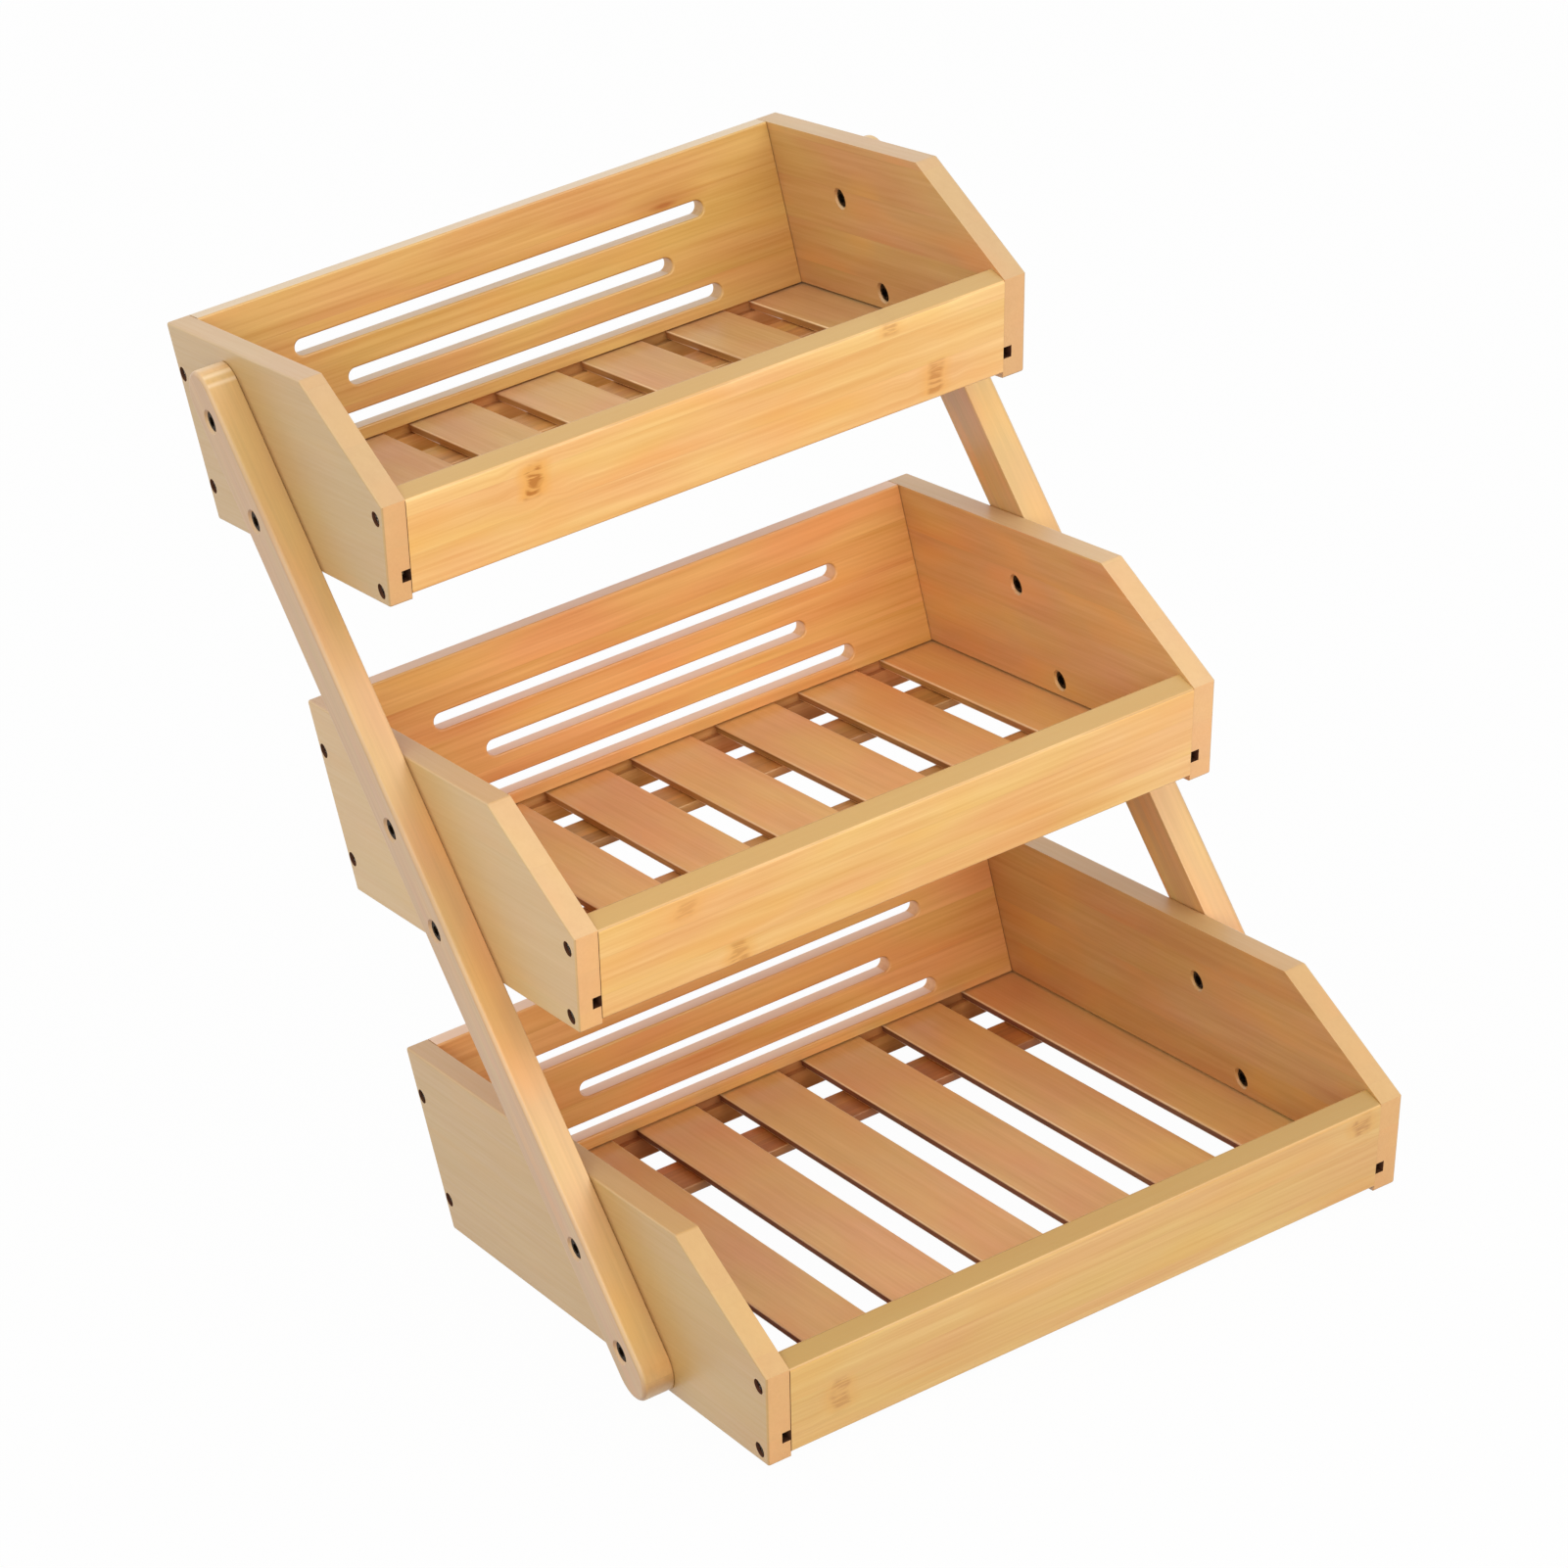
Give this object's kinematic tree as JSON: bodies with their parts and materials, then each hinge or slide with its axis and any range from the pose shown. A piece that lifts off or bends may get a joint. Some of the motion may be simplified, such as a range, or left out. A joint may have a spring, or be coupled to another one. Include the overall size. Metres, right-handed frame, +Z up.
{
  "type": "tiered fruit basket stand",
  "caption": "Bamboo fruit stand with stepped open trays, slotted back boards and slatted floors, bolted between two leaning flat arms.",
  "frame": {"origin": "on the ground under the middle of the whole stand", "axes": "+Z up, +X to the stand's right as seen from its open front, +Y towards its back; the trays open towards -Y"},
  "size_m": [0.3286, 0.3877, 0.4165],
  "materials": {
    "bamboo_side_boards": "smooth clear-sealed bamboo board, greyish tan outside",
    "bamboo_back_boards": "smooth clear-sealed bamboo board, orange brown",
    "bamboo_front_boards": "smooth clear-sealed bamboo board, warm honey",
    "bamboo_slats": "thin sanded bamboo slat",
    "bamboo_crossbars": "thin sanded bamboo strip under the slats",
    "bamboo_arms": "smooth clear-sealed bamboo bar with rounded edges",
    "dark_steel": "dark plated socket-head bolt and sleeve nut"
  },
  "bodies": {
    "root": {"lower_tray_left_side": "bamboo_side_boards", "lower_tray_right_side": "bamboo_side_boards", "lower_tray_back": "bamboo_back_boards", "lower_tray_front": "bamboo_front_boards", "lower_tray_slat_1": "bamboo_slats", "lower_tray_slat_2": "bamboo_slats", "lower_tray_slat_3": "bamboo_slats", "lower_tray_slat_4": "bamboo_slats", "lower_tray_slat_5": "bamboo_slats", "lower_tray_slat_6": "bamboo_slats", "lower_tray_slat_7": "bamboo_slats", "lower_tray_front_crossbar": "bamboo_crossbars", "lower_tray_rear_crossbar": "bamboo_crossbars", "lower_tray_left_low_bolt": "dark_steel", "lower_tray_left_high_bolt": "dark_steel", "lower_tray_right_low_bolt": "dark_steel", "lower_tray_right_high_bolt": "dark_steel", "middle_tray_left_side": "bamboo_side_boards", "middle_tray_right_side": "bamboo_side_boards", "middle_tray_back": "bamboo_back_boards", "middle_tray_front": "bamboo_front_boards", "middle_tray_slat_1": "bamboo_slats", "middle_tray_slat_2": "bamboo_slats", "middle_tray_slat_3": "bamboo_slats", "middle_tray_slat_4": "bamboo_slats", "middle_tray_slat_5": "bamboo_slats", "middle_tray_slat_6": "bamboo_slats", "middle_tray_slat_7": "bamboo_slats", "middle_tray_front_crossbar": "bamboo_crossbars", "middle_tray_rear_crossbar": "bamboo_crossbars", "middle_tray_left_low_bolt": "dark_steel", "middle_tray_left_high_bolt": "dark_steel", "middle_tray_right_low_bolt": "dark_steel", "middle_tray_right_high_bolt": "dark_steel", "upper_tray_left_side": "bamboo_side_boards", "upper_tray_right_side": "bamboo_side_boards", "upper_tray_back": "bamboo_back_boards", "upper_tray_front": "bamboo_front_boards", "upper_tray_slat_1": "bamboo_slats", "upper_tray_slat_2": "bamboo_slats", "upper_tray_slat_3": "bamboo_slats", "upper_tray_slat_4": "bamboo_slats", "upper_tray_slat_5": "bamboo_slats", "upper_tray_slat_6": "bamboo_slats", "upper_tray_slat_7": "bamboo_slats", "upper_tray_front_crossbar": "bamboo_crossbars", "upper_tray_rear_crossbar": "bamboo_crossbars", "upper_tray_left_low_bolt": "dark_steel", "upper_tray_left_high_bolt": "dark_steel", "upper_tray_right_low_bolt": "dark_steel", "upper_tray_right_high_bolt": "dark_steel", "left_arm": "bamboo_arms", "right_arm": "bamboo_arms"}
  },
  "joints": []
}
